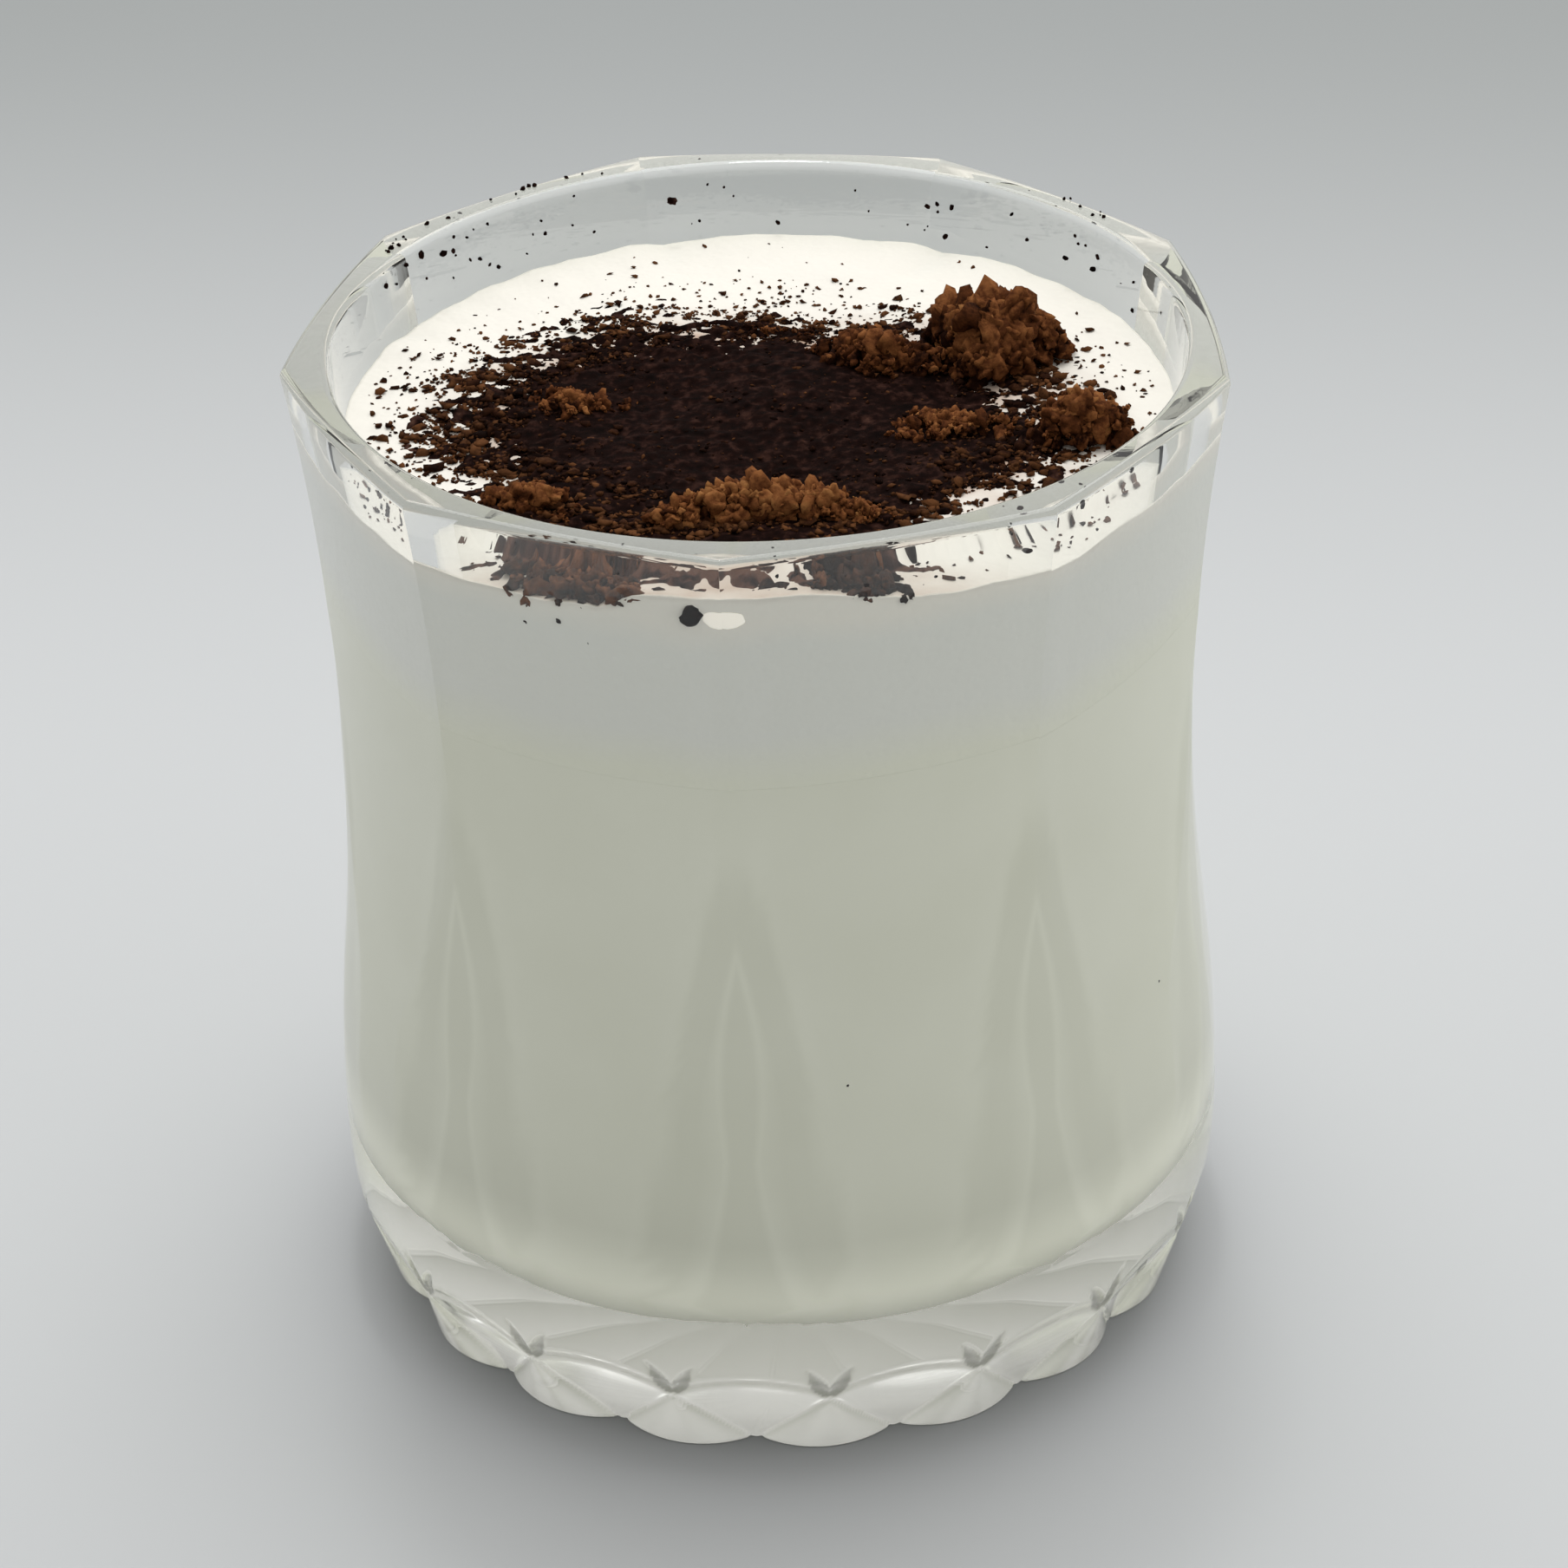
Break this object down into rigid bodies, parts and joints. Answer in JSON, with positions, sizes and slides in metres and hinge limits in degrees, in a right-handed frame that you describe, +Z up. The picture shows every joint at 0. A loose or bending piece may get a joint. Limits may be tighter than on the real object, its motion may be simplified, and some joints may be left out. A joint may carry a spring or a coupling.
{
  "type": "babyccino in a glass",
  "caption": "Warm milk under a deep layer of milk foam dusted with clumpy cocoa, in a thick pressed glass tumbler with flat panels and a cut foot.",
  "frame": {"origin": "on the axis of the glass, on the surface that it stands on", "axes": "+Z up along the axis of the glass; -Y is the front, where one ridge of the glass points; +X is to the right"},
  "size_m": [0.0794, 0.0796, 0.0891],
  "materials": {
    "pressed_glass": "clear, fire polished",
    "warm_milk": "opaque liquid",
    "milk_foam": "fine bubbles, moist",
    "cocoa_powder": "damp powder",
    "cocoa_crumb": "dry powder clumps"
  },
  "bodies": {
    "root": {"glass": "pressed_glass", "milk": "warm_milk", "foam": "milk_foam", "cocoa_dusting": "cocoa_powder", "cocoa_lump_pile": "cocoa_crumb", "cocoa_lump_ridge": "cocoa_crumb", "cocoa_lump_right": "cocoa_crumb", "cocoa_lump_front": "cocoa_crumb", "cocoa_lump_wall_left": "cocoa_crumb", "cocoa_lump_wall_right": "cocoa_crumb"}
  },
  "joints": []
}
